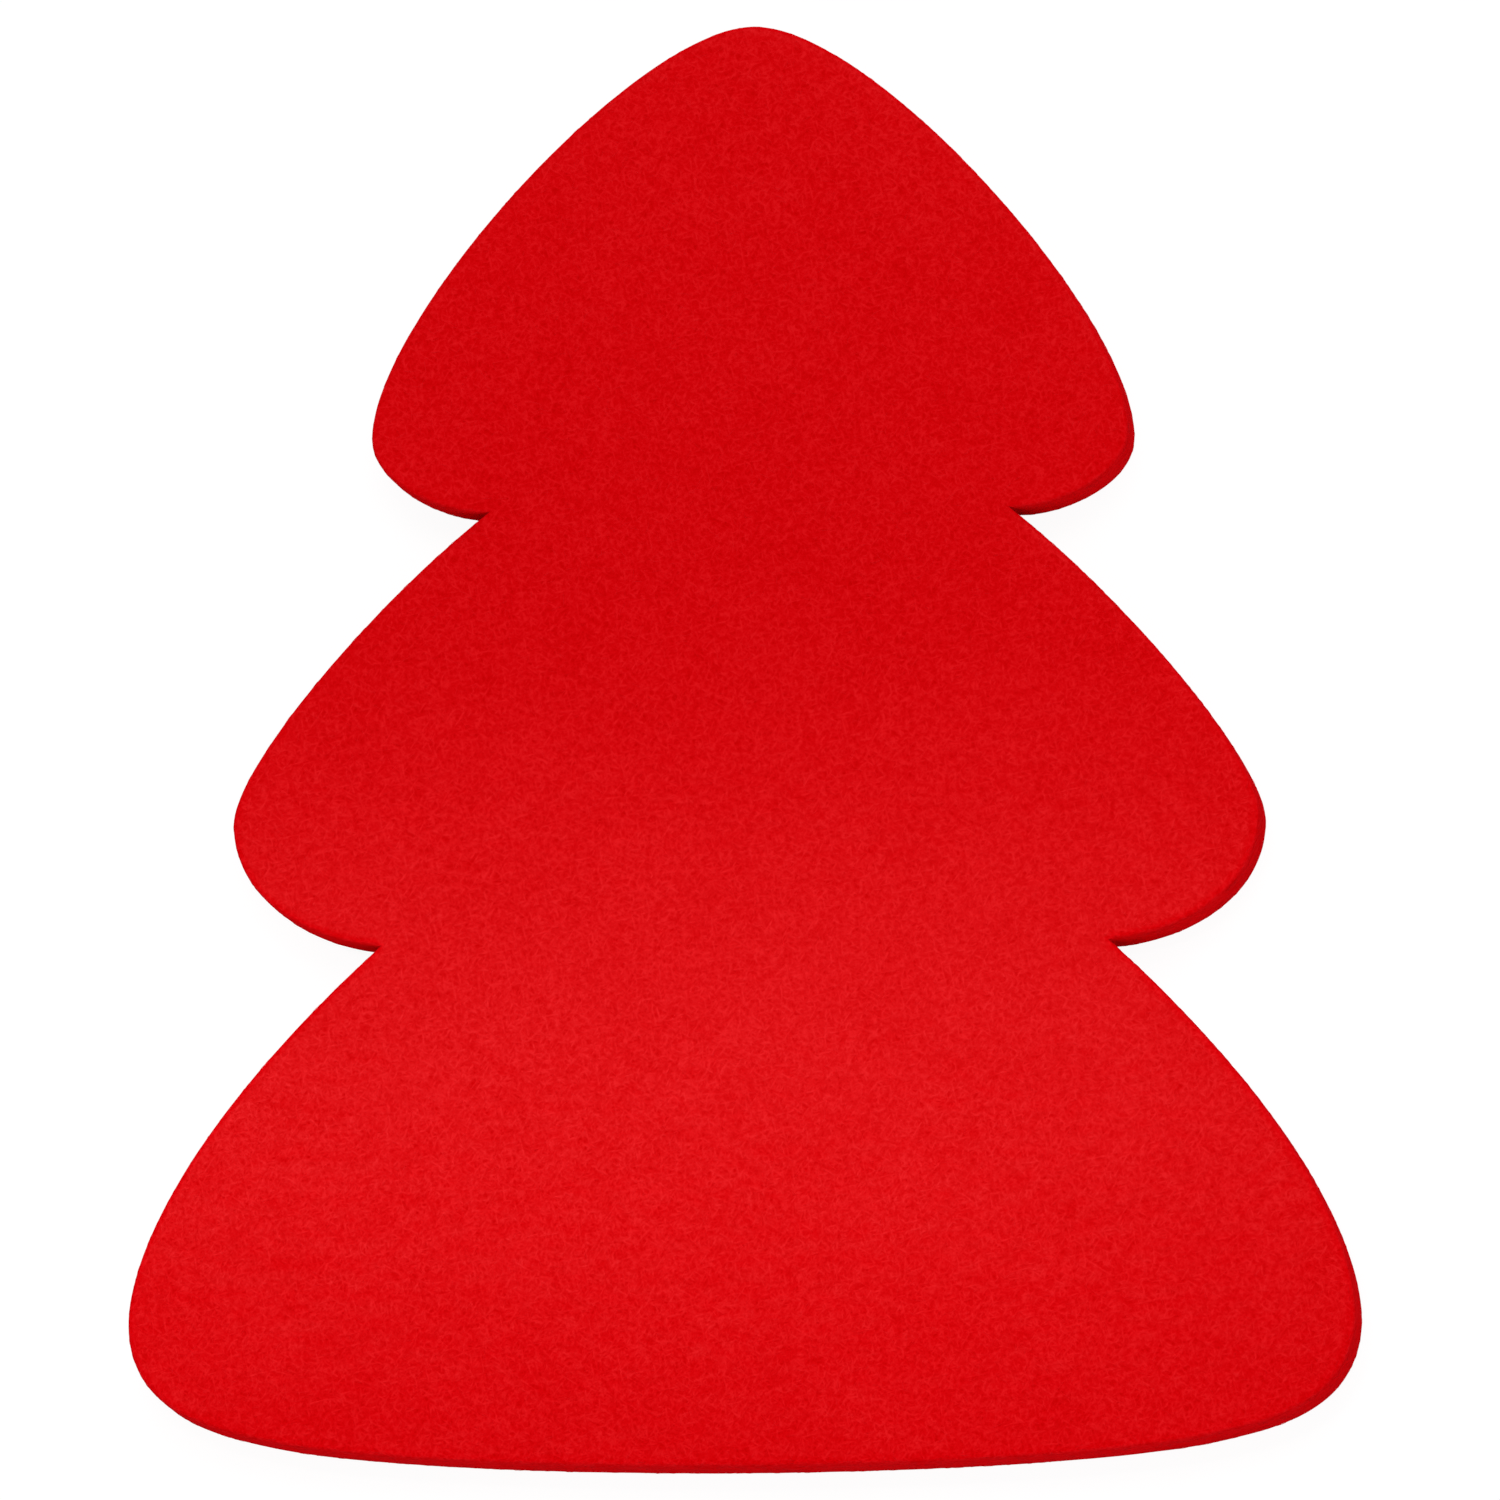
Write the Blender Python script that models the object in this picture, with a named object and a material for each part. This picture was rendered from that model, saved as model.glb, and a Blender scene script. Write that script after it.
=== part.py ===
"""A felt Christmas tree: three rounded tiers, cut in one piece from a single sheet of thick red felt.

The tree lies flat. Its tip points to +Y, its underside is at z = 0, and the origin is under the middle
of its box. All sizes are in metres.
"""

from math import radians

import bmesh
import bpy
from mathutils import Vector
from mathutils.geometry import interpolate_bezier

# The sheet. The nap rolls over the cut edge on both faces.
FELT_THICKNESS = 0.0050
EDGE_ROUNDING = 0.00035

# Each tier's full width, how far its slope falls to its widest point, how far its underside then
# falls to the notch, and how deep that notch is cut into the side.
TOP_TIER_WIDTH = 0.0630
TOP_SLOPE_DROP = 0.0341
TOP_UNDERSIDE_DROP = 0.0063
TOP_NOTCH_DEPTH = 0.0098

MIDDLE_TIER_WIDTH = 0.0854
MIDDLE_SLOPE_DROP = 0.0258
MIDDLE_UNDERSIDE_DROP = 0.0103
MIDDLE_NOTCH_DEPTH = 0.01235

# The bottom tier has no notch: a round corner runs into the foot, which bows down to the middle.
BOTTOM_TIER_WIDTH = 0.1020
BOTTOM_SLOPE_DROP = 0.03115
BOTTOM_CORNER_WIDTH = 0.0111
BOTTOM_CORNER_DROP = 0.00985
FOOT_BOW = 0.0025

# How far the two handles of each curve reach, as shares of its way across and of its way down.
TOP_SLOPE_SHARES = ((0.312, 0.0), (0.0, 0.294))
TOP_UNDERSIDE_SHARES = ((0.0, 0.673), (0.303, -0.06))
MIDDLE_SLOPE_SHARES = ((0.466, 0.298), (0.0, 0.18))
MIDDLE_UNDERSIDE_SHARES = ((0.0, 0.594), (0.505, 0.048))
BOTTOM_SLOPE_SHARES = ((0.872, 0.529), (0.0, 0.121))
FOOT_SHARES = ((0.184, 0.697), (0.37, 0.0))
# The corner leaves its tier straight down and meets the foot along the foot's own handle.
CORNER_START_SHARES = (0.0, 0.778)
CORNER_TO_FOOT_HANDLE_SHARE = 0.488

STEPS_PER_CURVE = 16
ROUNDING_SEGMENTS = 2
SHARP_ANGLE = radians(20)

FELT_RED = (0.672, 0.0037, 0.0061, 1.0)
FELT_ROUGHNESS = 0.9


def handle(start, end, shares):
    """The handle's reach, for shares of the way from start to end."""
    return (end - start) * Vector(shares)


def curve(start, start_handle, end_handle, end):
    """Points along a cubic curve from start towards end, which the next curve begins with."""
    return interpolate_bezier(
        start, start + start_handle, end - end_handle, end, STEPS_PER_CURVE + 1
    )[:-1]


def shared_curve(start, end, shares):
    return curve(start, handle(start, end, shares[0]), handle(start, end, shares[1]), end)


def half_outline():
    """The outline's right half, from the tip down to just before the middle of the foot."""
    drops = (
        TOP_SLOPE_DROP,
        TOP_UNDERSIDE_DROP,
        MIDDLE_SLOPE_DROP,
        MIDDLE_UNDERSIDE_DROP,
        BOTTOM_SLOPE_DROP,
        BOTTOM_CORNER_DROP,
        FOOT_BOW,
    )
    across = (
        TOP_TIER_WIDTH / 2,
        TOP_TIER_WIDTH / 2 - TOP_NOTCH_DEPTH,
        MIDDLE_TIER_WIDTH / 2,
        MIDDLE_TIER_WIDTH / 2 - MIDDLE_NOTCH_DEPTH,
        BOTTOM_TIER_WIDTH / 2,
        BOTTOM_TIER_WIDTH / 2 - BOTTOM_CORNER_WIDTH,
        0.0,
    )
    tip = Vector((0.0, sum(drops) / 2))
    corners = [tip]
    for x, drop in zip(across, drops):
        corners.append(Vector((x, corners[-1].y - drop)))
    _, top, top_notch, middle, middle_notch, bottom, foot_end, foot = corners

    foot_handle = handle(foot_end, foot, FOOT_SHARES[0])
    return [
        *shared_curve(tip, top, TOP_SLOPE_SHARES),
        *shared_curve(top, top_notch, TOP_UNDERSIDE_SHARES),
        *shared_curve(top_notch, middle, MIDDLE_SLOPE_SHARES),
        *shared_curve(middle, middle_notch, MIDDLE_UNDERSIDE_SHARES),
        *shared_curve(middle_notch, bottom, BOTTOM_SLOPE_SHARES),
        *curve(
            bottom,
            handle(bottom, foot_end, CORNER_START_SHARES),
            foot_handle * CORNER_TO_FOOT_HANDLE_SHARE,
            foot_end,
        ),
        *curve(foot_end, foot_handle, handle(foot_end, foot, FOOT_SHARES[1]), foot),
    ]


def tree_outline():
    """The whole outline, clockwise from the tip. The tip and the middle of the foot are there once."""
    right = half_outline()
    foot = Vector((0.0, -right[0].y))
    left = [Vector((-point.x, point.y)) for point in reversed(right[1:])]
    return [*right, foot, *left]


def felt_mesh(outline):
    """The sheet's solid: the outline raised by the thickness, its two rims rounded."""
    bm = bmesh.new()
    levels = [
        [bm.verts.new((point.x, point.y, z)) for point in outline] for z in (0.0, FELT_THICKNESS)
    ]
    underside, face = (bm.faces.new(level) for level in levels)
    face.normal_flip()
    rim = [*underside.edges, *face.edges]
    bmesh.ops.bridge_loops(bm, edges=rim)
    bmesh.ops.recalc_face_normals(bm, faces=bm.faces)
    bmesh.ops.bevel(
        bm,
        geom=rim,
        offset=min(EDGE_ROUNDING, FELT_THICKNESS / 2),
        segments=ROUNDING_SEGMENTS,
        profile=0.5,
        affect="EDGES",
    )
    mesh = bpy.data.meshes.new("felt_tree")
    bm.to_mesh(mesh)
    bm.free()
    mesh.shade_smooth()
    mesh.set_sharp_from_angle(angle=SHARP_ANGLE)
    return mesh


def felt_material():
    material = bpy.data.materials.new("red_felt")
    material.use_nodes = True
    material.diffuse_color = FELT_RED
    shader = material.node_tree.nodes["Principled BSDF"]
    shader.inputs["Base Color"].default_value = FELT_RED
    shader.inputs["Roughness"].default_value = FELT_ROUGHNESS
    shader.inputs["Metallic"].default_value = 0.0
    return material


def clear_scene():
    for old in list(bpy.data.objects):
        bpy.data.objects.remove(old, do_unlink=True)


def build():
    clear_scene()
    mesh = felt_mesh(tree_outline())
    mesh.materials.append(felt_material())
    tree = bpy.data.objects.new("felt_tree", mesh)
    bpy.context.scene.collection.objects.link(tree)


build()
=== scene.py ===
# %% [markdown]
# # A felt Christmas tree
#
# The object is a flat tree with three rounded tiers, stamped out of one sheet of pressed wool felt,
# 5 mm thick. It has no seam, no hanger and no second layer, so nearly all of its looks are in the felt:
# a matted surface that is almost flat, short fibres that lie on it, and a cut edge that shows the
# layers the sheet was pressed from.
#
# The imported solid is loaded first. It fixes the size and the place of everything below.

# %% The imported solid
from math import cos, pi, radians, sin, tan

import bmesh
import bpy
import numpy as np
from mathutils import Matrix, Vector
from mathutils.geometry import delaunay_2d_cdt


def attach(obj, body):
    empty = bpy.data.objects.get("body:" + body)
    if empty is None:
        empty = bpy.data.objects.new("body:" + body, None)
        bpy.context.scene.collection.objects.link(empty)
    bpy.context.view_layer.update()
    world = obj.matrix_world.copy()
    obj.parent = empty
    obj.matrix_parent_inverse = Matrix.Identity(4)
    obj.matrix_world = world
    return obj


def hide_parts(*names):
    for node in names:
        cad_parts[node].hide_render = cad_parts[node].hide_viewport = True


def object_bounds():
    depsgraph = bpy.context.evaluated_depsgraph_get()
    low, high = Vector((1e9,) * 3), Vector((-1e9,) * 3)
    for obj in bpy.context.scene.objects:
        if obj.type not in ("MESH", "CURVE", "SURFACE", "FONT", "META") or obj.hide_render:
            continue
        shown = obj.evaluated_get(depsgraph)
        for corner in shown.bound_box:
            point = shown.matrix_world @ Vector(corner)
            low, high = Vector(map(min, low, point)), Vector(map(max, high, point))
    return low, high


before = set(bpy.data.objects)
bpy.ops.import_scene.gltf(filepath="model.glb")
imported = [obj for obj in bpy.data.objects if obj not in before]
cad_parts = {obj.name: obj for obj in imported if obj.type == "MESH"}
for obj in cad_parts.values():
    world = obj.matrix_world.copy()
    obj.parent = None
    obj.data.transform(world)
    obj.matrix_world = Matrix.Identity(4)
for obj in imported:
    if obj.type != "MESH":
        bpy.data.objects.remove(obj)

MM = 0.001
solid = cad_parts["felt_tree"]
cad_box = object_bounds()
lowest, highest = cad_box
THICKNESS = highest.z - lowest.z
middle = (lowest + highest) / 2
print("sheet, mm:", [round(side / MM, 2) for side in highest - lowest])

# %% [markdown]
# ## The camera
#
# The photograph is taken from almost straight above. The cut edge shows as an even band along the
# right and the foot, so the camera leans a little towards the foot's right-hand corner. The band is
# as wide near the camera as far from it, which only a very long lens does.
#
# A leaning view squeezes the sheet along the lean, so its long and cross axes no longer look square to
# each other. The camera is rolled to share that small error between the two.

# %% The camera
VIEW_AZIMUTH = radians(44.6)
VIEW_ELEVATION = radians(78.6)
VIEW_WIDTH = 123.80 * MM
VIEW_TARGET = Vector((0.0, -0.11 * MM, THICKNESS / 2))
LENS_MM = 1000
SENSOR_MM = 36
CLIP_REACH = 4


def flattened(axis, back):
    """The direction in which an axis runs across the picture."""
    return (axis - axis.dot(back) * back).normalized()


def add_camera():
    data = bpy.data.cameras.new("camera")
    data.lens, data.sensor_width = LENS_MM, SENSOR_MM
    distance = VIEW_WIDTH * LENS_MM / SENSOR_MM
    data.clip_end = CLIP_REACH * distance
    level = cos(VIEW_ELEVATION)
    back = Vector((sin(VIEW_AZIMUTH) * level, -cos(VIEW_AZIMUTH) * level, sin(VIEW_ELEVATION)))
    along = flattened(Vector((0, 1, 0)), back)
    across = flattened(Vector((1, 0, 0)), back)
    up = (along + back.cross(across)).normalized()
    turn = Matrix((up.cross(back), up, back)).transposed()
    camera = bpy.data.objects.new("camera", data)
    camera.matrix_world = Matrix.LocRotScale(VIEW_TARGET + back * distance, turn, None)
    bpy.context.scene.collection.objects.link(camera)
    bpy.context.scene.camera = camera
    return distance


print("camera distance, m:", round(add_camera(), 3))

# %% [markdown]
# ## The solid's outline
#
# The tree could be drawn again here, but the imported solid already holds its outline, and reading it
# there keeps the felt and the solid alike. The solid's upright wall ends in a ring of points. Walking
# that ring gives the outline as a coarse polygon.

# %% The solid's outline
SAME_POINT = 0.001 * MM


def wall_ring(node):
    """The ring of points at the foot of the solid's upright wall, clockwise from the tip, as x and y."""
    bm = bmesh.new()
    bm.from_mesh(node.data)
    bmesh.ops.remove_doubles(bm, verts=bm.verts, dist=SAME_POINT)
    tallest = max(bm.edges, key=lambda e: abs(e.verts[0].co.z - e.verts[1].co.z))
    level = min(v.co.z for v in tallest.verts)
    ring = [e for e in bm.edges if all(abs(v.co.z - level) < SAME_POINT for v in e.verts)]
    neighbours = {}
    for a, b in (e.verts for e in ring):
        neighbours.setdefault(a, []).append(b)
        neighbours.setdefault(b, []).append(a)
    here = max(neighbours, key=lambda v: v.co.y)
    walk = [here]
    ahead = max(neighbours[here], key=lambda v: v.co.x)
    while ahead is not walk[0]:
        walk.append(ahead)
        ahead = next(v for v in neighbours[ahead] if v is not walk[-2])
    points = np.array([v.co.xy for v in walk])
    bm.free()
    return points


coarse = wall_ring(solid)
print("outline of the solid:", len(coarse), "points")

# %% [markdown]
# ## The felt's outline
#
# Felt has no straight facets, so a smooth curve is laid through the points of the polygon. Blender's
# own curves could do this, but they would need their handles broken by hand at each corner. The curve
# here breaks wherever the outline turns sharply, which is at the four notches between the tiers. It is
# cut into even steps, short enough to carry the felt's relief.

# %% The felt's outline
GRAIN_STEP = 0.5 * MM
NOTCH_TURN = radians(40)


def turns(points):
    """How far the outline turns at each of its points, in radians."""
    ahead = np.roll(points, -1, axis=0) - points
    behind = points - np.roll(points, 1, axis=0)
    cross = behind[:, 0] * ahead[:, 1] - behind[:, 1] * ahead[:, 0]
    return np.abs(np.arctan2(cross, (ahead * behind).sum(axis=1)))


def smooth_stretch(points, step):
    """Even points on a smooth curve through these, from the first until just before the last."""
    chords = np.linalg.norm(np.diff(points, axis=0), axis=1)
    run = np.concatenate([[0.0], chords.cumsum()])
    slopes = np.gradient(points, run, axis=0)
    count = max(2, round(run[-1] / step))
    at = np.linspace(0.0, run[-1], count, endpoint=False)
    k = np.clip(np.searchsorted(run, at, side="right") - 1, 0, len(chords) - 1)
    long = chords[k][:, None]
    t = ((at - run[k]) / chords[k])[:, None]
    return (
        (1 + 2 * t) * (1 - t) ** 2 * points[k]
        + t * (1 - t) ** 2 * long * slopes[k]
        + t * t * (3 - 2 * t) * points[k + 1]
        - t * t * (1 - t) * long * slopes[k + 1]
    )


def smooth_outline(points, step):
    """The whole outline in even steps, and which of its points are notches."""
    notches = np.flatnonzero(turns(points) > NOTCH_TURN)
    start = notches[0]
    points = np.roll(points, -start, axis=0)
    ends = [*(notches - start), len(points)]
    closed = np.concatenate([points, points[:1]])
    stretches = [smooth_stretch(closed[a : b + 1], step) for a, b in zip(ends[:-1], ends[1:])]
    corners = np.cumsum([0] + [len(s) for s in stretches[:-1]])
    return np.concatenate(stretches), corners


outline, notches = smooth_outline(coarse, GRAIN_STEP)
print("outline of the felt:", len(outline), "points and", len(notches), "notches")

# %% [markdown]
# ## The net of a face
#
# Felt isn't a flat plate: its face swells and dips by a few hundredths of a millimetre. To hold such
# relief the faces need points all over, not only along the rim. They are laid out as a net of even
# triangles, and a Delaunay triangulation joins that net to the rim with no thin slivers.

# %% The net of a face
LEAST_GAP_SHARE = 0.62
NET_TOLERANCE = 1e-6 * MM


def inside(points, ring):
    """Which points lie inside a closed ring, by counting the edges to their right."""
    x, y = points.T
    within = np.zeros(len(points), bool)
    for (ax, ay), (bx, by) in zip(ring, np.roll(ring, -1, axis=0)):
        if ay != by:
            crossing = (ay > y) != (by > y)
            within ^= crossing & (x < ax + (y - ay) * (bx - ax) / (by - ay))
    return within


def net_inside(ring, step):
    """The points of a triangular net that lie inside a ring and clear of it."""
    low, high = ring.min(axis=0), ring.max(axis=0)
    rise = step * 3**0.5 / 2
    rows = np.arange(low[1], high[1], rise)
    columns = np.arange(low[0], high[0], step)
    x, y = np.meshgrid(columns, rows)
    x[1::2] += step / 2
    net = np.column_stack([x.ravel(), y.ravel()])
    net = net[inside(net, ring)]
    clear = np.ones(len(net), bool)
    for point in ring:
        clear &= ((net - point) ** 2).sum(axis=1) > (LEAST_GAP_SHARE * step) ** 2
    return net[clear]


def face_triangles(ring, step):
    """The net's points, and triangles that fill a ring. They number the ring's own points first."""
    net = net_inside(ring, step)
    points = [Vector(p) for p in np.concatenate([ring, net])]
    found = delaunay_2d_cdt(points, [], [list(range(len(ring)))], 1, NET_TOLERANCE)
    if len(found[0]) != len(points):
        raise ValueError("the triangulation added or merged points")
    triangles = np.array(found[2])
    a, b, c = np.concatenate([ring, net])[triangles].transpose(1, 0, 2)
    turned = np.cross(b - a, c - a) < 0
    triangles[turned] = triangles[turned][:, ::-1]
    return net, triangles


print("net, mm from point to point:", round(GRAIN_STEP / MM, 2))

# %% [markdown]
# ## The cut edge
#
# The blade leaves an upright wall between the two faces. It is made of rings of points, one above the
# other, and near each face they close in along a quarter circle, because the nap rolls over the cut
# edge. A Bevel modifier could round the rims too, but rings keep each point straight above the last, so
# the ridges of the layers come out level.

# %% The cut edge
ROUNDING = 0.35 * MM
ROUNDING_STEPS = 4
WALL_STEPS = 10
CORNER_REACH = 1.5


def inward(points):
    """The direction from each outline point into the sheet.

    It is longer at corners, so that the rings stay parallel there.
    """
    edges = np.roll(points, -1, axis=0) - points
    edges /= np.linalg.norm(edges, axis=1)[:, None]
    normals = np.column_stack([edges[:, 1], -edges[:, 0]])
    both = normals + np.roll(normals, 1, axis=0)
    both /= np.linalg.norm(both, axis=1)[:, None]
    reach = 1 / np.maximum((both * normals).sum(axis=1), 1 / CORNER_REACH)
    return both * reach[:, None]


def wall_rows():
    """(inset, height) of each ring of the wall, from the underside's rim up to the upper face's."""
    angles = np.linspace(0, pi / 2, ROUNDING_STEPS + 1)
    lower = [(ROUNDING * (1 - sin(a)), ROUNDING * (1 - cos(a))) for a in angles]
    heights = np.linspace(ROUNDING, THICKNESS - ROUNDING, WALL_STEPS + 1)[1:-1]
    upper = [(inset, THICKNESS - z) for inset, z in reversed(lower)]
    return [*lower, *((0.0, z) for z in heights), *upper]


print("rings of the cut edge:", len(wall_rows()))

# %% [markdown]
# ## Marks on the mesh
#
# The cut edge looks different from the faces, and each tier gets fibres of its own, so the mesh has to
# remember what each part of it is. One attribute says how much a point belongs to the cut edge, and
# another numbers the zones. Both the shader and Geometry Nodes read such attributes by name.

# %% Marks on the mesh
WALL_ZONE, UNDER_ZONE = 0, 4
BREAK_DIGITS = 5


def mark_cut_edge(mesh, net_count):
    """Gives each point how much it belongs to the cut edge, from 0 on a face to 1 on the wall."""
    rounding = np.linspace(0, 1, ROUNDING_STEPS + 1)
    rows = [*rounding, *np.ones(WALL_STEPS - 1), *rounding[::-1]]
    values = np.concatenate([np.repeat(rows, len(outline)), np.zeros(2 * net_count)])
    mesh.attributes.new("cut_edge", "FLOAT", "POINT").data.foreach_set("value", values)


def mark_zones(mesh, per_face):
    """Numbers the faces: 0 on the wall, 1 to 3 on the tiers from the top, and 4 underneath."""
    middles = np.empty(3 * len(mesh.polygons))
    mesh.polygons.foreach_get("center", middles)
    y = middles.reshape(-1, 3)[:, 1]
    # Rounding makes one break of a left notch and its twin on the right.
    breaks = sorted({round(float(outline[n][1]), BREAK_DIGITS) for n in notches}, reverse=True)
    zones = np.full(len(y), WALL_ZONE, np.int32)
    zones[:per_face] = 1 + (y[:per_face] < breaks[0]) + (y[:per_face] < breaks[1])
    zones[per_face : 2 * per_face] = UNDER_ZONE
    mesh.attributes.new("zone", "INT", "FACE").data.foreach_set("value", zones)


print("zones:", UNDER_ZONE + 1)

# %% [markdown]
# ## The sheet's mesh
#
# The two faces use the same net. Each shares its rim with the first or the last ring of the cut edge,
# so the sheet is closed. It is given to Blender as plain lists of points and faces, and then measured:
# a closed sheet has no open edge, and its volume is positive when its faces point outwards.

# %% The sheet's mesh
def sheet_mesh():
    """The felt sheet as one closed mesh."""
    rows = wall_rows()
    count = len(outline)
    reach = inward(outline)
    rings = [np.column_stack([outline + reach * inset, np.full(count, z)]) for inset, z in rows]
    net, triangles = face_triangles(rings[-1][:, :2], GRAIN_STEP)
    under = np.column_stack([net, np.zeros(len(net))])
    upper = np.column_stack([net, np.full(len(net), THICKNESS)])
    points = np.concatenate([*rings, under, upper])
    first_under, first_upper = len(rings) * count, len(rings) * count + len(net)

    def placed(ring_start, net_start):
        return np.where(triangles < count, triangles + ring_start, triangles - count + net_start)

    here = np.arange(count)
    ahead = np.roll(here, -1)
    faces = placed((len(rings) - 1) * count, first_upper).tolist()
    faces += placed(0, first_under)[:, ::-1].tolist()
    for k in range(len(rings) - 1):
        low, high = k * count, (k + 1) * count
        faces += np.column_stack([low + ahead, low + here, high + here, high + ahead]).tolist()
    mesh = bpy.data.meshes.new("felt_sheet")
    mesh.from_pydata(points, [], faces)
    mesh.shade_smooth()
    mark_cut_edge(mesh, len(net))
    mark_zones(mesh, len(triangles))
    return mesh


def measured(mesh):
    """A line that says how large a mesh is and whether it is closed."""
    bm = bmesh.new()
    bm.from_mesh(mesh)
    open_edges = sum(not e.is_manifold for e in bm.edges)
    volume = bm.calc_volume(signed=True) / MM**3
    bm.free()
    mesh.calc_loop_triangles()
    count = len(mesh.loop_triangles)
    return f"{mesh.name}: {count} triangles, {open_edges} open edges, {volume:.2f} mm3"


sheet = sheet_mesh()
print(measured(sheet))

# %% [markdown]
# ## Arithmetic with nodes
#
# Nodes work out the felt's relief, its fibres and its colours. A tree of nodes is easier to read as a
# formula, so a small class stands for one output of a node and turns + - * / into Math nodes.

# %% Arithmetic with nodes
class Wire:
    """One output of a node. Arithmetic with it adds Math nodes."""

    def __init__(self, sketch, node, out):
        self.sketch, self.node, self.out = sketch, node, out

    @property
    def socket(self):
        return self.node.outputs[self.out]

    def also(self, out):
        """Another output of the same node."""
        return Wire(self.sketch, self.node, out)

    def maths(self, operation, *values):
        return self.sketch.add("ShaderNodeMath", {"operation": operation}, dict(enumerate(values)))

    def __add__(self, other):
        return self.maths("ADD", self, other)

    __radd__ = __add__

    def __sub__(self, other):
        return self.maths("SUBTRACT", self, other)

    def __rsub__(self, other):
        return self.maths("SUBTRACT", other, self)

    def __mul__(self, other):
        return self.maths("MULTIPLY", self, other)

    __rmul__ = __mul__

    def __truediv__(self, other):
        return self.maths("DIVIDE", self, other)

    def __rtruediv__(self, other):
        return self.maths("DIVIDE", other, self)


# %% [markdown]
# ## Any other node
#
# One method adds every node. It takes the node's type, then its settings, and last what goes into its
# sockets. The settings come first, because some of them change which sockets a node has.

# %% Any other node
NODE_SPACING = 180
NOISE_MIDDLE = 0.5


def place_stops(elements, stops):
    """Gives a colour ramp its stops, as (position, colour) from the left."""
    while len(elements) < len(stops):
        elements.new(1.0)
    for element, (position, colour) in zip(elements, stops):
        element.position, element.color = position, colour


class Sketch:
    """A node tree that is filled one node at a time."""

    def __init__(self, tree):
        self.tree = tree
        tree.nodes.clear()

    def add(self, kind, settings=None, sockets=None, out=0):
        """Adds a node and gives one of its outputs."""
        node = self.tree.nodes.new(kind)
        node.location.x = NODE_SPACING * len(self.tree.nodes)
        for name, value in (settings or {}).items():
            if name == "stops":
                place_stops(node.color_ramp.elements, value)
            else:
                setattr(node, name, value)
        for key, value in (sockets or {}).items():
            if isinstance(value, Wire):
                self.tree.links.new(value.socket, node.inputs[key])
            else:
                node.inputs[key].default_value = value
        return Wire(self, node, out)

    def vector(self, operation, *values):
        return self.add("ShaderNodeVectorMath", {"operation": operation}, dict(enumerate(values)))

    def scaled(self, vector, amount):
        return self.add("ShaderNodeVectorMath", {"operation": "SCALE"}, {0: vector, "Scale": amount})

    def noise(self, place, size, detail=2.0, roughness=0.5):
        """Smooth random values about 0, with features of this size."""
        values = {"Vector": place, "Scale": 1 / size, "Detail": detail, "Roughness": roughness}
        return self.add("ShaderNodeTexNoise", {}, values) - NOISE_MIDDLE


# %% [markdown]
# ## Trees that shape a mesh
#
# A Geometry Nodes tree serves several pieces when its sizes are inputs with names. These helpers start
# such a tree, end it and run it. What it makes is kept as a plain mesh, so no piece depends on a
# modifier later on.

# %% Trees that shape a mesh
SOCKET_TYPES = {float: "NodeSocketFloat", int: "NodeSocketInt"}


def new_tree(name, sizes):
    """An empty Geometry Nodes tree with named inputs, as a sketch and its inputs."""
    tree = bpy.data.node_groups.new(name, "GeometryNodeTree")
    tree.interface.new_socket("Geometry", in_out="OUTPUT", socket_type="NodeSocketGeometry")
    tree.interface.new_socket("Geometry", in_out="INPUT", socket_type="NodeSocketGeometry")
    tree.interface.new_socket("Finish", in_out="INPUT", socket_type="NodeSocketMaterial")
    for title, value in sizes.items():
        kind = SOCKET_TYPES[type(value)]
        tree.interface.new_socket(title, in_out="INPUT", socket_type=kind)
    sketch = Sketch(tree)
    return sketch, sketch.add("NodeGroupInput")


def end_tree(sketch, geometry, finish):
    """Ends a tree as the export needs it: no instances, and one material."""
    real = sketch.add("GeometryNodeRealizeInstances", {}, {"Geometry": geometry})
    done = sketch.add("GeometryNodeSetMaterial", {}, {"Geometry": real, "Material": finish})
    sketch.add("NodeGroupOutput", {}, {"Geometry": done}, out=None)
    return sketch.tree


def attribute(sketch, name, kind):
    return sketch.add("GeometryNodeInputNamedAttribute", {"data_type": kind}, {"Name": name})


def grown(mesh, name, tree, finish, sizes):
    """The plain mesh that a tree makes of this one, with these sizes."""
    carrier = bpy.data.objects.new(name, mesh)
    bpy.context.scene.collection.objects.link(carrier)
    modifier = carrier.modifiers.new(name, "NODES")
    modifier.node_group = tree
    for title, value in {"Finish": finish, **sizes}.items():
        modifier[tree.interface.items_tree[title].identifier] = value
    graph = bpy.context.evaluated_depsgraph_get()
    result = bpy.data.meshes.new_from_object(carrier.evaluated_get(graph), depsgraph=graph)
    bpy.data.objects.remove(carrier)
    result.name = name
    return result


# %% [markdown]
# ## The relief
#
# Pressed felt swells and dips slowly, over one or two centimetres, and on top of that it has a fine
# grain where fibres bunch. Its cut edge looks different: the blade has opened the layers that the sheet was
# pressed from, and they show as low ridges along the wall.
#
# The relief could be sculpted or painted as a displacement map. Here Geometry Nodes push each point
# along its normal by a sum of noises, because every height and width then has a name and can be
# changed. The underside is held a hair above the table: the sheet rests on its nap.

# %% The relief
RELIEF = {
    "Swell height": 0.16 * MM,
    "Swell width": 17 * MM,
    "Grain height": 0.09 * MM,
    "Grain width": 1.3 * MM,
    "Layer height": 0.06 * MM,
    "Layer length": 2.6 * MM,
    "Layer thickness": 0.5 * MM,
    "Nap": 0.03 * MM,
}


def held_above(sketch, place, least):
    """A place, lifted where it is lower than this."""
    parts = sketch.add("ShaderNodeSeparateXYZ", {}, {0: place})
    height = parts.maths("MAXIMUM", parts.also("Z"), least)
    return sketch.add("ShaderNodeCombineXYZ", {}, {0: parts.also("X"), 1: parts.also("Y"), 2: height})


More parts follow.
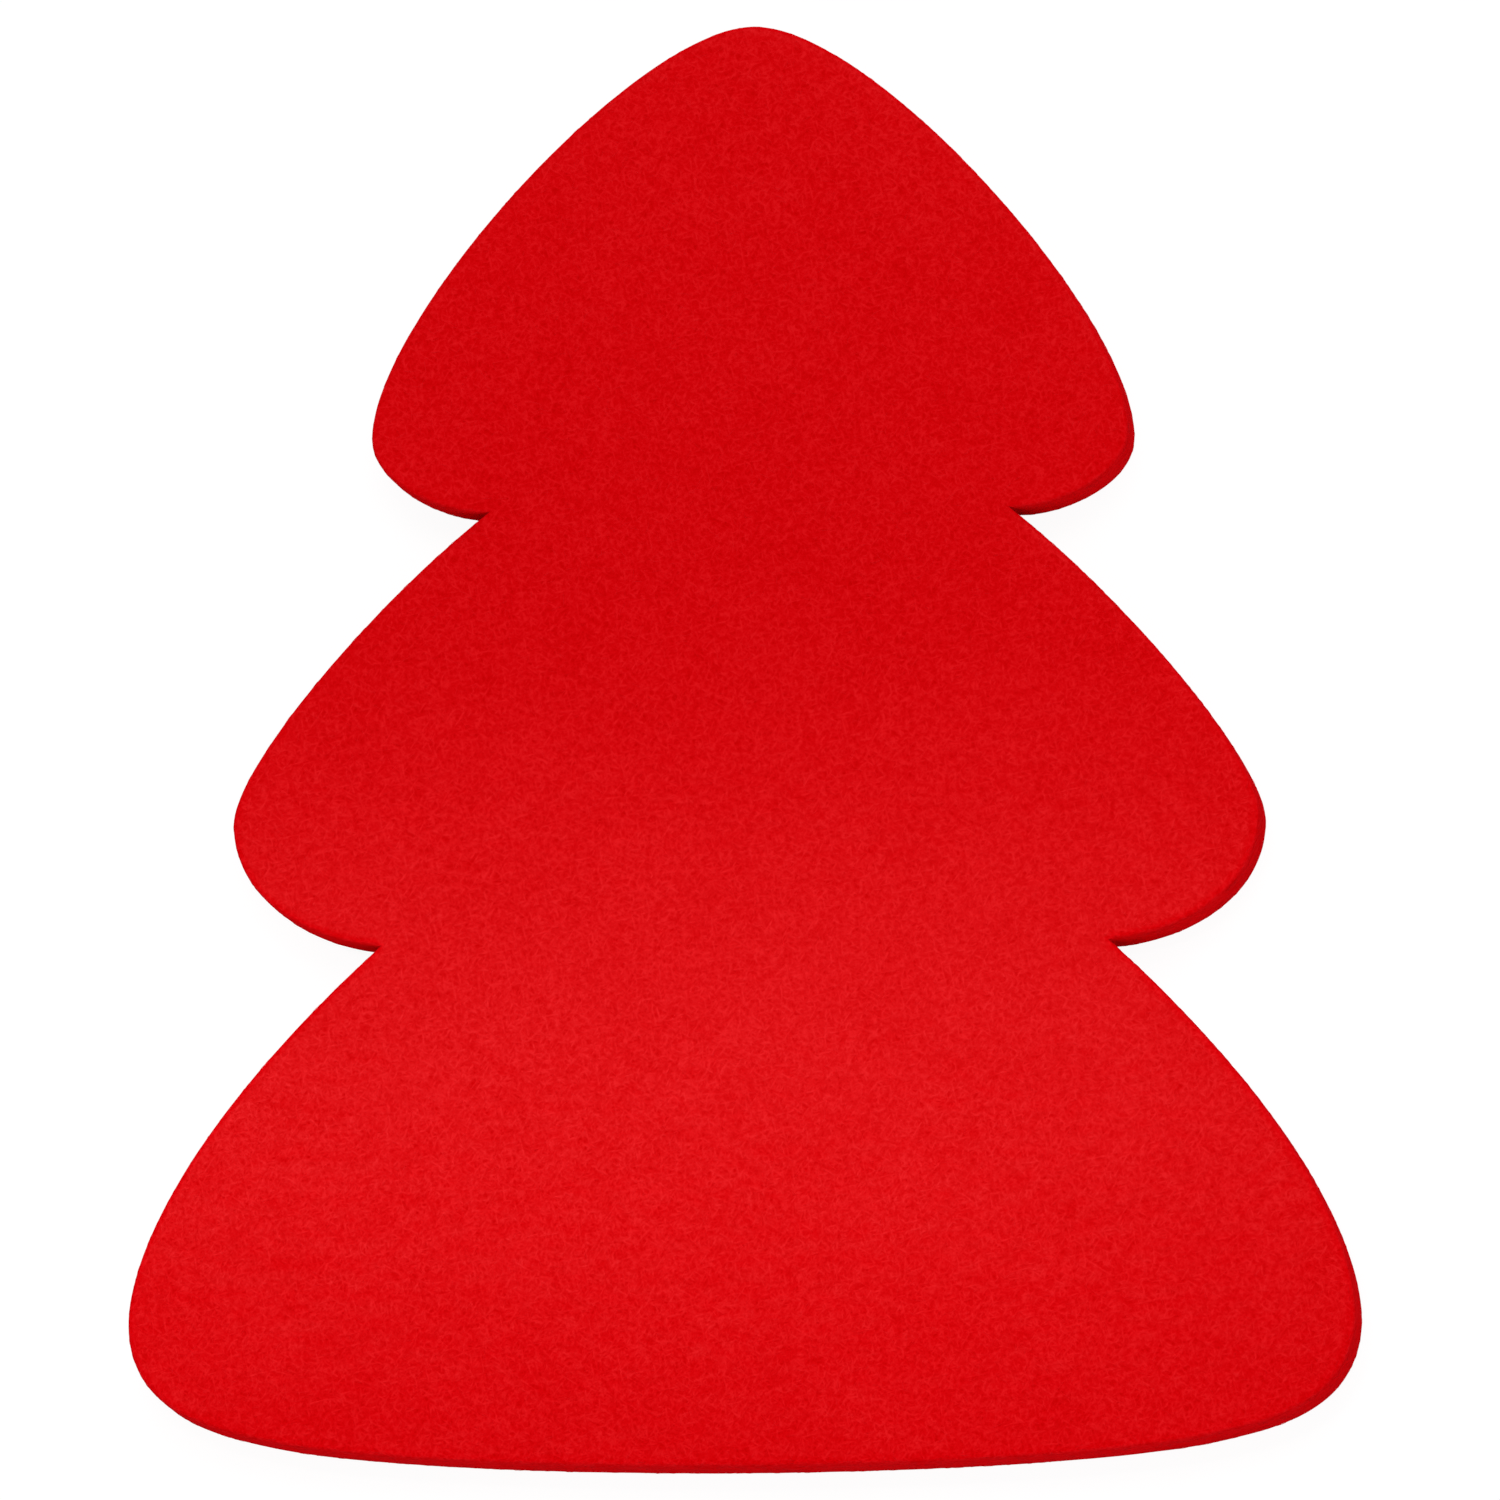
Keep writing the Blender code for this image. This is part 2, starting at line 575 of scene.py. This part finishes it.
def relief_tree():
    sketch, given = new_tree("felt_relief", RELIEF)
    place = sketch.add("GeometryNodeInputPosition")
    normal = sketch.add("GeometryNodeInputNormal")
    edge = attribute(sketch, "cut_edge", "FLOAT")
    swell = sketch.noise(place, given.also("Swell width")) * given.also("Swell height")
    grain = sketch.noise(place, given.also("Grain width")) * given.also("Grain height")
    parts = sketch.add("ShaderNodeSeparateXYZ", {}, {0: place})
    stretched = parts.also("Z") * (given.also("Layer length") / given.also("Layer thickness"))
    flat = sketch.add("ShaderNodeCombineXYZ", {}, {0: parts.also("X"), 1: parts.also("Y"), 2: stretched})
    layers = sketch.noise(flat, given.also("Layer length")) * given.also("Layer height")
    height = (swell + grain) * (1 - edge) + layers * edge
    moved = sketch.vector("ADD", place, sketch.scaled(normal, height))
    held = held_above(sketch, moved, given.also("Nap"))
    values = {"Geometry": given.also("Geometry"), "Position": held}
    shaped = sketch.add("GeometryNodeSetPosition", {}, values)
    return end_tree(sketch, shaped, given.also("Finish"))


print("relief, mm:", {title: round(value / MM, 3) for title, value in RELIEF.items()})

# %% [markdown]
# ## The felt's tone
#
# The felt is dyed a strong warm red. Close by, its fibres make a fine mottle: a fibre that lies high
# catches the light and looks paler, and a pit between fibres is a deeper, purer red. Small bunches of
# fibres and slow clouds change the tone a little more. On the cut edge the ends of the layers take the
# place of the lying fibres, and the red is painted paler there: painted light over the shade that falls
# on the upright wall.
#
# An image could give this, but it would repeat and blur. Noise in object coordinates has any scale and
# no seams. Each layer of noise moves one value, the tone.

# %% The felt's tone
MIDDLE_TONE = 0.5
STREAK_LENGTH = 0.88 * MM
STREAK_WIDTH = 0.21 * MM
STREAK_TURNS = (12, 57, 103, 148)
STREAK_MEAN = 0.09
LAYER_END_LENGTH = 1.6 * MM
LAYER_END_WIDTH = 0.2 * MM
GRAIN_SIZE = 0.325 * MM
BUNCH_SIZE = 0.9 * MM
CLOUD_SIZE = 7 * MM
STREAK_SHARE = 1.6
GRAIN_SHARE = 1.12
BUNCH_SHARE = 0.3
CLOUD_SHARE = 0.25
# Painted light: the cut edge's red is lifted to make up for the shade that falls on the upright wall.
EDGE_PAINTED_LIGHT = 0.3


def streaks(sketch, place, turn, length, width):
    """Noise that is drawn out in one direction, like fibres combed that way."""
    values = {"Vector": place, "Rotation": (0, 0, radians(turn)), "Scale": (length / width, 1, 1)}
    turned = sketch.add("ShaderNodeMapping", {"vector_type": "TEXTURE"}, values)
    return sketch.noise(turned, width, detail=0.0)


def layer_ends(sketch, place, length, width):
    """Noise that is drawn out along the sheet, like the ends of its layers on the cut edge."""
    squeezed = sketch.vector("MULTIPLY", place, (1, 1, length / width))
    return sketch.noise(squeezed, length)


def felt_tone(sketch, place, edge):
    """The felt's tone: higher on raised fibres and lower in pits."""
    strands = [streaks(sketch, place, turn, STREAK_LENGTH, STREAK_WIDTH) for turn in STREAK_TURNS]
    on_top = strands[0]
    for strand in strands[1:]:
        on_top = on_top.maths("MAXIMUM", on_top, strand)
    layers = layer_ends(sketch, place, LAYER_END_LENGTH, LAYER_END_WIDTH)
    # The cut edge's tone is raised here as painted light over its shade.
    tone = MIDDLE_TONE + EDGE_PAINTED_LIGHT * edge
    tone = tone + STREAK_SHARE * ((on_top - STREAK_MEAN) * (1 - edge) + layers * edge)
    tone = tone + GRAIN_SHARE * sketch.noise(place, GRAIN_SIZE, detail=1.0)
    tone = tone + BUNCH_SHARE * sketch.noise(place, BUNCH_SIZE)
    return tone + CLOUD_SHARE * sketch.noise(place, CLOUD_SIZE)


print("strands run at, degrees:", STREAK_TURNS)

# %% [markdown]
# ## The felt's surface
#
# A ramp of three reds turns the tone into a colour. The tone also raises the surface a little in a Bump
# node and makes high fibres less rough, so light and colour agree.
#
# Pressing leaves a very faint gloss on the faces. It is a thin coat over the matt felt, stronger on high
# fibres and missing on the cut edge.

# %% The felt's surface
REDS = (
    (0.0, (0.585, 0.0, 0.0009, 1.0)),
    (0.5, (0.670, 0.0001, 0.0020, 1.0)),
    (1.0, (0.755, 0.0038, 0.0067, 1.0)),
)
BUMP_HEIGHT = 0.035 * MM
FELT_ROUGHNESS = 0.88
ROUGHNESS_SWING = 0.12
GLOSS_WEIGHT = 0.021
GLOSS_SWING = 1.4
GLOSS_ROUGHNESS = 0.275


def start_material(name):
    material = bpy.data.materials.new(name)
    material.use_nodes = True
    return material, Sketch(material.node_tree)


def felt_surface(sketch, tone, reds, gloss):
    """The shader that the sheet and its fibres share."""
    red = sketch.add("ShaderNodeValToRGB", {"stops": reds}, {"Fac": tone})
    bump = sketch.add("ShaderNodeBump", {}, {"Distance": BUMP_HEIGHT, "Height": tone})
    sockets = {
        "Base Color": red,
        "Roughness": FELT_ROUGHNESS - ROUGHNESS_SWING * (tone - MIDDLE_TONE),
        "Normal": bump,
        "Specular IOR Level": 0.0,
        "Coat Weight": gloss,
        "Coat Roughness": GLOSS_ROUGHNESS,
    }
    shader = sketch.add("ShaderNodeBsdfPrincipled", {}, sockets)
    sketch.add("ShaderNodeOutputMaterial", {}, {"Surface": shader}, out=None)


def pressed_felt():
    material, sketch = start_material("pressed_felt")
    place = sketch.add("ShaderNodeTexCoord", out="Object")
    edge = sketch.add("ShaderNodeAttribute", {"attribute_name": "cut_edge"}, out="Fac")
    tone = felt_tone(sketch, place, edge)
    gloss = GLOSS_WEIGHT * (1 + GLOSS_SWING * (tone - MIDDLE_TONE)) * (1 - edge)
    felt_surface(sketch, tone, REDS, gloss)
    return material


body_mesh = grown(sheet, "felt_body", relief_tree(), pressed_felt(), RELIEF)
print(measured(body_mesh))

# %% [markdown]
# ## Loose fibres: where they grow
#
# Felt is nothing but fibres, and thousands of them lie loose on its surface. Hair particles would show
# them in a render, but they are lost in an exported model. So each fibre here is a thin closed tube of
# a few dozen faces, and one Geometry Nodes tree makes them all.
#
# Points are scattered over one zone of the sheet, and each gets a tone of its own. A straight line is
# put on each point, flat on the surface. On the faces it may point anywhere, and on the cut edge it
# runs mostly along the layers.

# %% Loose fibres: where they grow
FIBRE_POINTS = 5
FIBRES = {
    "Zone": WALL_ZONE,
    "Density": 2.0e6,
    "Seed": 1,
    "Least length": 0.8 * MM,
    "Greatest length": 2.0 * MM,
    "Thickness": 0.032 * MM,
    "Rise": 0.035 * MM,
    "Dip": 0.03 * MM,
    "Turn": pi,
    "Bend": 1.1 * MM,
    "Bend width": 1.2 * MM,
    "Overhang": 0.05 * MM,
}
TONE_SEED, TURN_SEED, LENGTH_SEED = 1, 2, 3
LAYER_AXIS = (0.0, 0.15, 1.0)


def chance(sketch, low, high, seed):
    values = {2: low, 3: high, "Seed": seed}
    return sketch.add("FunctionNodeRandomValue", {"data_type": "FLOAT"}, values, out=1)


def scattered(sketch, given):
    """Points all over the chosen zone."""
    settings = {"data_type": "INT", "operation": "EQUAL"}
    values = {2: attribute(sketch, "zone", "INT"), 3: given.also("Zone")}
    chosen = sketch.add("FunctionNodeCompare", settings, values)
    values = {
        "Mesh": given.also("Geometry"),
        "Selection": chosen,
        "Density": given.also("Density"),
        "Seed": given.also("Seed"),
    }
    return sketch.add("GeometryNodeDistributePointsOnFaces", {}, values)


def directions(sketch, given, normal):
    """How each fibre is turned: flat on the surface, along the layers, then aside by a random angle."""
    along = sketch.vector("CROSS_PRODUCT", LAYER_AXIS, normal)
    upright = sketch.add("FunctionNodeAlignRotationToVector", {"axis": "Z"}, {"Vector": normal})
    settings = {"axis": "X", "pivot_axis": "Z"}
    values = {"Rotation": upright, "Vector": along}
    level = sketch.add("FunctionNodeAlignRotationToVector", settings, values)
    angle = given.also("Turn") * chance(sketch, -1.0, 1.0, TURN_SEED)
    spin = sketch.add("FunctionNodeAxisAngleToRotation", {}, {"Axis": (0, 0, 1), "Angle": angle})
    values = {"Rotation": level, "Rotate By": spin}
    return sketch.add("FunctionNodeRotateRotation", {"rotation_space": "LOCAL"}, values)


def straight_fibres(sketch, given):
    """A straight line on each point, with its own direction and length."""
    roots = scattered(sketch, given)
    settings = {"data_type": "FLOAT", "domain": "POINT"}
    values = {"Geometry": roots, "Name": "fibre_tone", "Value": chance(sketch, 0.0, 1.0, TONE_SEED)}
    toned = sketch.add("GeometryNodeStoreNamedAttribute", settings, values)
    ends = {"Start": (-0.5, 0, 0), "End": (0.5, 0, 0)}
    line = sketch.add("GeometryNodeCurvePrimitiveLine", {}, ends)
    line = sketch.add("GeometryNodeResampleCurve", {}, {"Curve": line, "Count": FIBRE_POINTS})
    length = chance(sketch, given.also("Least length"), given.also("Greatest length"), LENGTH_SEED)
    values = {
        "Points": toned,
        "Instance": line,
        "Rotation": directions(sketch, given, roots.also("Normal")),
        "Scale": sketch.add("ShaderNodeCombineXYZ", {}, {0: length, 1: 1.0, 2: 1.0}),
    }
    copies = sketch.add("GeometryNodeInstanceOnPoints", {}, values)
    return sketch.add("GeometryNodeRealizeInstances", {}, {"Geometry": copies})


shortest, longest = FIBRES["Least length"], FIBRES["Greatest length"]
print("loose fibres, mm long:", round(shortest / MM, 2), "to", round(longest / MM, 2))

# %% [markdown]
# ## Loose fibres: how they lie
#
# Fibres that would reach over the rim are taken away, because the blade has cut them. The others are
# bent sideways by noise, and then laid on the felt by looking up the nearest point of its surface.
# Each becomes a low arch whose two ends dip under the surface, so it comes out of the felt and goes
# back in. Last, the lines become closed tubes that thin out towards their ends.

# %% Loose fibres: how they lie
FIBRE_SIDES = 3
FIBRES_APART = 100
LEAST_RISE = 0.4
THIN_END = 0.4


def on_surface(sketch, surface, field, place):
    """What a field is worth at the point of the surface nearest to each place."""
    values = {"Mesh": surface, "Value": field, "Sample Position": place}
    return sketch.add("GeometryNodeSampleNearestSurface", {"data_type": "FLOAT_VECTOR"}, values)


def without_overhang(sketch, given, lines, place):
    """The lines that stay on the sheet."""
    nearest = on_surface(sketch, given.also("Geometry"), place, place)
    gap = sketch.vector("DISTANCE", nearest, place).also("Value")
    settings = {"domain": "POINT", "data_type": "FLOAT"}
    gap = sketch.add("GeometryNodeFieldOnDomain", settings, {"Value": gap})
    values = {0: gap, 1: given.also("Overhang")}
    over = sketch.add("FunctionNodeCompare", {"operation": "GREATER_THAN"}, values)
    values = {"Geometry": lines, "Selection": over}
    return sketch.add("GeometryNodeDeleteGeometry", {"domain": "CURVE"}, values)


def bent(sketch, given, lines, place, tone):
    """The lines, bent by noise that differs from fibre to fibre."""
    values = {
        "Vector": place,
        "W": tone * FIBRES_APART,
        "Scale": 1 / given.also("Bend width"),
        "Detail": 0.0,
    }
    sway = sketch.add("ShaderNodeTexNoise", {"noise_dimensions": "4D"}, values, out="Color")
    sway = sketch.vector("SUBTRACT", sway, (NOISE_MIDDLE,) * 3)
    values = {"Geometry": lines, "Offset": sketch.scaled(sway, given.also("Bend"))}
    return sketch.add("GeometryNodeSetPosition", {}, values)


def laid(sketch, given, lines, place, height):
    """The lines on the felt, at this height over it, and never under the table."""
    normal = sketch.add("GeometryNodeInputNormal")
    foot = on_surface(sketch, given.also("Geometry"), place, place)
    out = on_surface(sketch, given.also("Geometry"), normal, place)
    lifted = sketch.vector("ADD", foot, sketch.scaled(out, height))
    held = held_above(sketch, lifted, given.also("Thickness") * 0.5)
    return sketch.add("GeometryNodeSetPosition", {}, {"Geometry": lines, "Position": held})


def fibre_tree():
    sketch, given = new_tree("loose_fibres", FIBRES)
    place = sketch.add("GeometryNodeInputPosition")
    tone = attribute(sketch, "fibre_tone", "FLOAT")
    t = sketch.add("GeometryNodeSplineParameter")
    arch = 4 * t * (1 - t)
    height = given.also("Rise") * (LEAST_RISE + (1 - LEAST_RISE) * tone) * arch - given.also("Dip")
    lines = without_overhang(sketch, given, straight_fibres(sketch, given), place)
    lines = bent(sketch, given, lines, place, tone)
    lines = laid(sketch, given, lines, place, height)
    values = {"Resolution": FIBRE_SIDES, "Radius": given.also("Thickness") * 0.5}
    ring = sketch.add("GeometryNodeCurvePrimitiveCircle", {}, values)
    width = THIN_END + (1 - THIN_END) * arch
    values = {"Curve": lines, "Profile Curve": ring, "Scale": width, "Fill Caps": True}
    tubes = sketch.add("GeometryNodeCurveToMesh", {}, values)
    smooth = sketch.add("GeometryNodeSetShadeSmooth", {}, {"Geometry": tubes})
    return end_tree(sketch, smooth, given.also("Finish"))


laying = fibre_tree()
print("fibre tree:", len(laying.nodes), "nodes")

# %% [markdown]
# ## Loose fibres: zone by zone
#
# A fibre has the felt's red, a little paler, because it lies in full light. Each takes its own tone, and
# noise mottles it. The tree then runs once for each zone, with a seed of its own. The cut edge gets
# more and shorter fibres that stand out further, and the underside gets fewer.

# %% Loose fibres: zone by zone
FIBRE_REDS = (
    (0.0, (0.640, 0.001, 0.002, 1.0)),
    (1.0, (0.830, 0.011, 0.016, 1.0)),
)
FIBRE_MOTTLE = 0.5
FIBRE_ZONES = {
    "edge_fibres": {
        "Zone": WALL_ZONE,
        "Seed": 11,
        "Density": 2.5e6,
        "Turn": 0.5,
        "Greatest length": 1.6 * MM,
        "Rise": 0.06 * MM,
    },
    "top_tier_fibres": {"Zone": 1, "Seed": 12},
    "middle_tier_fibres": {"Zone": 2, "Seed": 13},
    "bottom_tier_fibres": {"Zone": 3, "Seed": 14},
    "underside_fibres": {"Zone": UNDER_ZONE, "Seed": 15, "Density": 0.9e6},
}


def loose_fibre():
    material, sketch = start_material("loose_fibre")
    place = sketch.add("ShaderNodeTexCoord", out="Object")
    own = sketch.add("ShaderNodeAttribute", {"attribute_name": "fibre_tone"}, out="Fac")
    felt_surface(sketch, own + FIBRE_MOTTLE * sketch.noise(place, GRAIN_SIZE), FIBRE_REDS, 0.0)
    return material


fibre = loose_fibre()
fibre_meshes = []
for name, own_sizes in FIBRE_ZONES.items():
    fibre_meshes.append(grown(body_mesh, name, laying, fibre, {**FIBRES, **own_sizes}))
    print(measured(fibre_meshes[-1]))

# %% [markdown]
# ## The pieces
#
# The sheet and its fibres ride on the same body. They could be joined into one object, but it would be
# very heavy, and apart each keeps a name by which it can be hidden or changed. The sheet stands for the
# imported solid.

# %% The pieces
def add_piece(mesh):
    piece = bpy.data.objects.new(mesh.name, mesh)
    bpy.context.scene.collection.objects.link(piece)
    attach(piece, "root")
    return piece


felt_body = add_piece(body_mesh)
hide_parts("felt_tree")
loose = [add_piece(mesh) for mesh in fibre_meshes]
print("pieces:", [piece.name for piece in (felt_body, *loose)])

# %% [markdown]
# ## The light
#
# The photograph has soft light from above. A wide pale pool lies across the bottom tier, and the cut
# edge along the foot is only a little darker than the face.
#
# Four lights give that. White surroundings fill in from all sides. A large softbox above the tip is the
# soft main light. A strip light with a honeycomb grid makes the pool, because a grid keeps the light in
# a narrow beam with soft ends, and the felt's faint gloss shows in it. A long card in front of the foot
# lights the cut edge. Together they light the felt to about 1, the level at which a colour renders as
# it is written. A picture of a studio could light it too, but lamps can be moved one at a time.

# %% The light
FILL_LEVEL = 0.445
MAIN_PLACE = Vector((30, 290, 500)) * MM
MAIN_SIZE = (400 * MM, 300 * MM)
MAIN_LEVEL = 0.419
STRIP_PLACE = Vector((-53, 14, 250)) * MM
STRIP_AIM = Vector((-17, -36, 0)) * MM
STRIP_SIZE = (151 * MM, 20 * MM)
STRIP_GRID = 2 * 0.205
STRIP_LEVEL = 0.660
FRONT_PLACE = Vector((170, -550, 400)) * MM
FRONT_SIZE = (1200 * MM, 300 * MM)
FRONT_LEVEL = 0.112


def add_lamp(name, place, aim, size, level, grid=None):
    """A softbox that lights a matt, level surface at its aim to this level.

    At a distance d, straight below, a lamp of (pi * d)**2 watts gives the level 1. A grid narrows the
    beam and leaves its middle as bright, for which the lamp needs fewer watts.
    """
    data = bpy.data.lights.new(name, "AREA")
    data.shape = "RECTANGLE"
    data.size, data.size_y = size
    towards = aim - place
    distance = towards.length
    facing = -towards.z / distance
    data.energy = level * (pi * distance) ** 2 / facing
    if grid:
        data.spread = grid
        data.energy *= 1 - (grid / 2) / tan(grid / 2)
    back = -towards / distance
    across = (Vector((1, 0, 0)) - back * back.x).normalized()
    turn = Matrix((across, back.cross(across), back)).transposed()
    lamp = bpy.data.objects.new(name, data)
    lamp.matrix_world = Matrix.LocRotScale(place, turn, None)
    lamp.visible_camera = False
    bpy.context.scene.collection.objects.link(lamp)
    print(f"{name}, W:", round(data.energy, 4))


add_lamp("main_softbox", MAIN_PLACE, middle, MAIN_SIZE, MAIN_LEVEL)
add_lamp("strip_light", STRIP_PLACE, STRIP_AIM, STRIP_SIZE, STRIP_LEVEL, STRIP_GRID)
add_lamp("front_card", FRONT_PLACE, middle, FRONT_SIZE, FRONT_LEVEL)

# %% [markdown]
# ## The table and the surroundings
#
# The background of the photograph is pure white. A white table under these lamps would be grey where
# their light falls off. So the table and the surroundings look white to the camera through Light Path,
# which adds no light to the felt. The table is mixed with a plain matt white, so the sheet still throws
# its soft shadow on it.

# %% The table and the surroundings
TABLE_HALF = 1.5
TABLE_DROP = 0.01 * MM
TABLE_WHITE = (0.86, 0.86, 0.86, 1.0)
PURE_WHITE = (1, 1, 1, 1)
SEEN_SHARE = 0.9
TABLE_GLOW = 1.045


def seen(sketch):
    """1 for what the camera sees, directly, in a gloss or through glass, and 0 for light on the object."""
    path = sketch.add("ShaderNodeLightPath", out="Is Camera Ray")
    shown = path.maths("MAXIMUM", path, path.also("Is Glossy Ray"))
    return path.maths("MAXIMUM", shown, path.also("Is Transmission Ray"))


def add_world():
    world = bpy.data.worlds.new("white_surroundings")
    bpy.context.scene.world = world
    world.use_nodes = True
    sketch = Sketch(world.node_tree)
    strength = FILL_LEVEL + (1 - FILL_LEVEL) * seen(sketch)
    light = sketch.add("ShaderNodeBackground", {}, {"Color": PURE_WHITE, "Strength": strength})
    sketch.add("ShaderNodeOutputWorld", {}, {"Surface": light}, out=None)


def add_table():
    material, sketch = start_material("matt_white_table")
    matt = sketch.add("ShaderNodeBsdfDiffuse", {}, {"Color": TABLE_WHITE})
    glow = sketch.add("ShaderNodeEmission", {}, {"Color": PURE_WHITE, "Strength": TABLE_GLOW})
    both = sketch.add("ShaderNodeMixShader", {}, {0: SEEN_SHARE * seen(sketch), 1: matt, 2: glow})
    sketch.add("ShaderNodeOutputMaterial", {}, {"Surface": both}, out=None)
    mesh = bpy.data.meshes.new("table")
    corners = [(-1, -1), (1, -1), (1, 1), (-1, 1)]
    points = [(x * TABLE_HALF, y * TABLE_HALF, -TABLE_DROP) for x, y in corners]
    mesh.from_pydata(points, [], [(0, 1, 2, 3)])
    mesh.materials.append(material)
    table = bpy.data.objects.new("table", mesh)
    bpy.context.scene.collection.objects.link(table)
    return table


add_world()
table = add_table()
print("table, m:", 2 * TABLE_HALF)

# %% [markdown]
# ## The sheet's flat size
#
# Felt is cloth. Its flat size is the size of its own outline, because it lies as it was cut.

# %% The sheet's flat size
print("flat size, mm:", round((highest.x - lowest.x) / MM, 2), "by", round((highest.y - lowest.y) / MM, 2))

# %% [markdown]
# ## Closing the scene
#
# The Standard view shows each colour as it is written, which is how the reds were chosen.

# %% Closing the scene
bpy.context.scene.view_settings.view_transform = "Standard"
